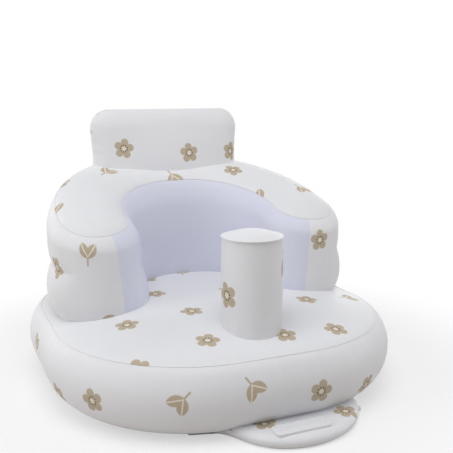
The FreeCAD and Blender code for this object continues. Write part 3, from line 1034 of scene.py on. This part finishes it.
def turned(profile, count=144):
    """Rows of a piece turned about the valve's axis, from radius and height out of the film."""
    up, across = spoke(np.linspace(0, 360, count, endpoint=False))
    return np.array([np.column_stack([radius * across, np.full(count, out), radius * up])
                     for radius, out in profile])


def moulded(name, rows, place):
    """A closed vinyl moulding at a valve's place."""
    rows = rows + place
    return skin(name, rows, plan_map(rows[:, :, (0, 2, 1)]), valve_vinyl)


def valve_body(name, place, film_radius, axis):
    """A valve's stem and flange, which follows film that is round across one axis, and its level lug."""
    flange = [(valve_flange, 0.0), (valve_flange, flange_round / 2),
              (valve_flange - 0.3 * flange_round, flange_round), (valve_flange - flange_round, flange_thick)]
    weld = []
    for radius in np.linspace(weld_outer, weld_inner, 37):
        wave = 1 + math.cos((radius - weld_inner) / weld_pitch * math.pi)
        weld.append((radius, flange_thick - weld_depth * wave))
    mouth = [(mouth_outer, flange_thick), (mouth_inner, flange_thick),
             (valve_bore, flange_thick - mouth_round)]
    inside = [(valve_bore, -valve_length), (valve_stem, -valve_length)]
    stem = [(valve_stem, -valve_length), (valve_stem, -flange_middle)]
    rows = turned(stem + flange + weld + mouth + inside)
    radius = np.hypot(rows[:, :, 0], rows[:, :, 2])
    bent = np.clip((radius - valve_stem) / flange_bend_run, 0, 1)
    drop = bent * (film_radius - np.sqrt(film_radius ** 2 - rows[:, :, axis] ** 2))
    beside = np.clip((strap_lug - np.abs(rows[:, :, 0])) / lug_side_run, 0, 1)
    below = np.clip((-rows[:, :, 2] - lug_start) / lug_start_run, 0, 1)
    on_top = rows[:, :, 1] > flange_middle
    rows[:, :, 1] -= drop * (1 - beside * below * on_top)
    piece = moulded(name, rows, place)
    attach(piece, "chair")
    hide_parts(name)


valve_body("base_valve_body", base_valve_place, rim_radius, axis=2)
valve_body("back_valve_body", back_valve_place, outer_x, axis=0)

# Plugs: one for each valve, in the same soft vinyl. A tapered stopper under a dished cap is moulded in one
# with the flat strap that hinges on the body's lug.
stopper_tip, stopper_root = 0.0042, 0.0059
stopper_length = 0.0042
cap_low, cap_high = 0.0018, 0.0038
cap_radius = 0.010
cap_dish = 0.0006
strap_half = np.array([0.004, 0.0085])
strap_high = 0.0030
strap_corner = 0.0012
strap_waist = 0.22
strap_round = 0.0003


def valve_plug(valve, place):
    """A valve's stopper with its cap, and the strap, which is narrower half way."""
    stopper = [(0.0, -stopper_length), (stopper_tip, -stopper_length),
               (0.0049, -0.0036), (stopper_root, cap_low)]
    cap = [(0.0092, cap_low), (cap_radius, cap_low + 0.0006), (cap_radius, cap_high - 0.0007),
           (0.0094, cap_high), (0.0082, cap_high), (0.0075, cap_high - 0.0005), (0.0, cap_high - cap_dish)]
    piece = moulded(valve + "_cap", turned(stopper + cap), place)
    outline = rounded_rectangle(strap_half, strap_corner, 8, 24)
    outline[:, 0] *= 1 - strap_waist * np.cos(outline[:, 1] / strap_half[1] * math.pi / 2) ** 2
    levels = [(strap_round, cap_low), (0.0, cap_low + strap_round),
              (0.0, strap_high - strap_round), (strap_round, strap_high)]
    rows = block_rows(outline, levels)[:, :, (0, 2, 1)] * (-1, 1, 1)
    strap = moulded(valve + "_strap", rows, place - (0, 0, strap_half[1]))
    for made in (piece, strap):
        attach(made, valve + "_plug")
    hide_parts(valve + "_plug")


valve_plug("base_valve", base_valve_place)
valve_plug("back_valve", back_valve_place)

# Small fittings that keep the solids' own shapes: the pump's two seats in moulded vinyl, the one-way flaps in
# soft rubber, and the film baffles inside the base.
rubber_grey = (0.42, 0.43, 0.45)
talc_grey = (0.58, 0.58, 0.59)


def rubber_finish():
    """Soft grey rubber sheet with a fine talc bloom."""
    material, start, shader, place = new_material("flap rubber")
    bloom = noise(start, place, 0.003, detail=4.0)
    plug(shader, "Base Color", (0.6 * bloom).colour(rubber_grey, talc_grey))
    plug(shader, "Roughness", 0.55 + 0.25 * bloom)
    plug(shader, "Normal", bump(start, bloom, 0.3, 0.0001))
    return material


flap_rubber = rubber_finish()
fittings = {valve_vinyl: ("pump_inlet_seat", "pump_outlet_seat"),
            flap_rubber: ("pump_inlet_flap", "pump_outlet_flap", "base_valve_flap", "back_valve_flap"),
            plain_film: ("base_baffle_left", "base_baffle_middle", "base_baffle_right")}
for finish, nodes in fittings.items():
    for node in nodes:
        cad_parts[node].data.materials.clear()
        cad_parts[node].data.materials.append(finish)

# Studio: a pale floor that keeps the chair's shadow and fades to white, soft round lamps above, at both sides
# and low behind, and the camera where the picture was taken from.
camera_place = Vector((-0.4103, -1.0452, 0.4505))
camera_target = Vector((0.0329, -0.0161, 0.2327))
camera_lens = 56.42
floor_pale = (0.93, 0.93, 0.93)
floor_bounce = (0.70, 0.66, 0.63)
floor_fade = (0.34, 0.62)
floor_half = 6
floor_glow_share = 0.5
room_light = 0.3
lamp_size = 1.4
lamp_target = Vector((0, 0, 0.2))


def seen_rays(start):
    """1 for rays that show a surface to the eye, straight or in a gloss, and 0 for rays that light others."""
    straight = start.node("ShaderNodeLightPath", {}, {}, output="Is Camera Ray")
    mirrored = straight.math("MAXIMUM", straight.output("Is Glossy Ray"))
    return mirrored.math("MAXIMUM", straight.output("Is Transmission Ray"))


floor_mesh = bpy.data.meshes.new("studio_floor")
floor_corners = [(x * floor_half, y * floor_half, 0) for x, y in ((-1, -1), (1, -1), (1, 1), (-1, 1))]
floor_mesh.from_pydata(floor_corners, [], [(0, 1, 2, 3)])
studio_floor = placed("studio_floor", floor_mesh)
floor_material, floor_start, floor_shader, floor_place = new_material("studio floor")
floor_shader.inputs["Roughness"].default_value = 0.9
floor_shader.inputs["Specular IOR Level"].default_value = 0.1
floor_seen = seen_rays(floor_start)
plug(floor_shader, "Base Color", floor_seen.colour(floor_bounce, floor_pale))
floor_spot = floor_start.node("ShaderNodeVectorMath", {"operation": "LENGTH"}, {0: floor_place},
                              output="Value")
floor_glow = floor_start.node("ShaderNodeEmission", {}, {"Color": (1, 1, 1, 1), "Strength": 1.0})
floor_lit = Shade(floor_start.tree, floor_shader.outputs[0])
floor_share = floor_seen * (floor_glow_share + (1 - floor_glow_share) * floor_spot.step(*floor_fade))
floor_mix = floor_start.node("ShaderNodeMixShader", {}, {0: floor_share, 1: floor_lit, 2: floor_glow})
plug(floor_start.tree.nodes["Material Output"], "Surface", floor_mix)
floor_mesh.materials.append(floor_material)

world = bpy.data.worlds.new("studio")
bpy.context.scene.world = world
world.use_nodes = True
glow = world.node_tree.nodes["Background"]
glow.inputs["Color"].default_value = (1, 1, 1, 1)
plug(glow, "Strength", room_light + (1 - room_light) * seen_rays(Shade(world.node_tree)))


def aim(made, place, target):
    """Puts a lamp or the camera in its place and turns it to a target."""
    made.location = place
    made.rotation_euler = (target - Vector(place)).to_track_quat("-Z", "Y").to_euler()


def lamp(name, place, power):
    """A soft round lamp, aimed at the chair."""
    data = bpy.data.lights.new(name, "AREA")
    data.shape = "DISK"
    data.size = lamp_size
    data.energy = power
    aim(placed(name, data), place, lamp_target)


lamp("lamp_above", (-0.3, -0.6, 1.8), 15.6)
lamp("lamp_left", (-1.9, -0.2, 1.0), 10.2)
lamp("lamp_right", (1.9, -0.7, 0.8), 8.4)
lamp("lamp_rear_left", (-1.3, 1.6, 0.6), 7)
lamp("lamp_rear_right", (1.3, 1.6, 0.6), 7)

camera = placed("camera", bpy.data.cameras.new("camera"))
camera.data.lens = camera_lens
aim(camera, camera_place, camera_target)
bpy.context.scene.camera = camera
bpy.context.scene.view_settings.view_transform = "Standard"
